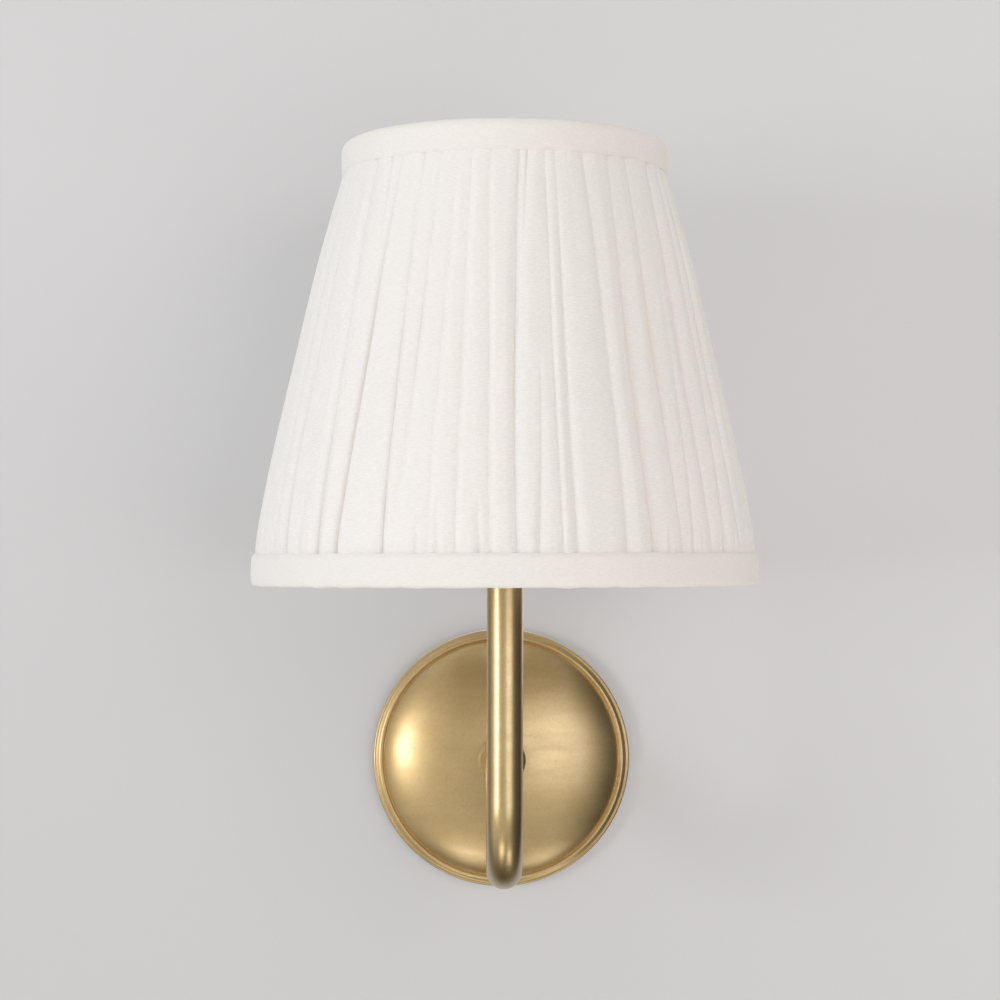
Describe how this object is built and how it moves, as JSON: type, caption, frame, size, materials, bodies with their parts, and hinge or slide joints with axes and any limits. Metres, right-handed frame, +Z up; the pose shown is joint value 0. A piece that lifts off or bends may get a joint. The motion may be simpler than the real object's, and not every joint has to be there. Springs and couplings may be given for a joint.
{
  "type": "wall light",
  "caption": "Wall light with a domed brass plate, a tube arm bent down and up into a leg, and a gathered linen cone shade on a small screw lampholder.",
  "frame": {"origin": "centre of the wall plate on the wall's surface, midway between the two wall screws", "axes": "+Z up, +Y into the wall, +X to the right when seen from the room; the lamp stands on the -Y side"},
  "size_m": [0.2233, 0.2367, 0.3418],
  "materials": {
    "aged_brass": "satin, aged, fine brushed grain",
    "turned_brass": "turned, plain",
    "zinc_steel": "zinc plated",
    "block_nylon": "natural nylon",
    "flex_sheath": "smooth PVC",
    "core_insulation": "smooth PVC",
    "earth_insulation": "smooth PVC",
    "holder_plastic": "moulded thermoset, low gloss",
    "holder_ceramic": "unglazed",
    "frame_wire": "white powder coat",
    "lining_fabric": "plain weave",
    "linen": "slub linen, gathered",
    "linen_binding": "linen cut on the bias",
    "bulb_glass": "clear",
    "bulb_cap_metal": "rolled, satin",
    "black_glass": "glossy",
    "filament": "coated"
  },
  "bodies": {
    "wall_part": {"arm_collar": "aged_brass", "arm_top_plug": "turned_brass", "arm_tube": "aged_brass", "arm_wall_plug": "turned_brass", "block_screw": "zinc_steel", "earth_lead": "earth_insulation", "earth_screw": "turned_brass", "earth_tag": "zinc_steel", "flex_cable": "flex_sheath", "holder_base_cap": "holder_plastic", "holder_body": "holder_plastic", "holder_centre_contact": "zinc_steel", "holder_cup": "turned_brass", "holder_insert": "holder_ceramic", "holder_lock_screw": "turned_brass", "holder_terminal_screws": "turned_brass", "holder_thread_shell": "turned_brass", "lamp_end_cores": "core_insulation", "lock_nut": "turned_brass", "lock_washer": "zinc_steel", "mounting_strap": "zinc_steel", "plate_side_screws": "turned_brass", "terminal_block": "block_nylon", "terminal_screws": "turned_brass", "terminal_sleeves": "turned_brass", "top_nipple": "turned_brass", "wall_end_cores": "core_insulation", "wall_nipple": "turned_brass", "wall_plate": "aged_brass"},
    "shade": {"shade_carrier_ring": "frame_wire", "shade_spokes": "frame_wire", "bottom_ring_wire": "frame_wire", "top_ring_wire": "frame_wire", "strut_wires": "frame_wire", "shade_lining": "lining_fabric", "pleated_cover": "linen", "bottom_binding": "linen_binding", "top_binding": "linen_binding"},
    "clamp_ring": {"shade_ring": "holder_plastic"},
    "bulb": {"bulb_cap": "bulb_cap_metal", "bulb_contact": "turned_brass", "bulb_filaments": "filament", "bulb_glass": "bulb_glass", "bulb_insulator": "black_glass", "bulb_stem": "bulb_glass"}
  },
  "joints": [
    {"name": "shade_turn", "type": "hinge", "parent": "wall_part", "child": "shade", "pos_m": [0, -0.125, 0.11885], "axis": [0, 0, 1], "continuous": true},
    {"name": "clamp_ring_turn", "type": "hinge", "parent": "wall_part", "child": "clamp_ring", "pos_m": [0, -0.125, 0.1227], "axis": [0, 0, 1], "continuous": true},
    {"name": "bulb_turn", "type": "hinge", "parent": "wall_part", "child": "bulb", "pos_m": [0, -0.125, 0.14], "axis": [0, 0, 1], "range_deg": [0, 1800]}
  ]
}
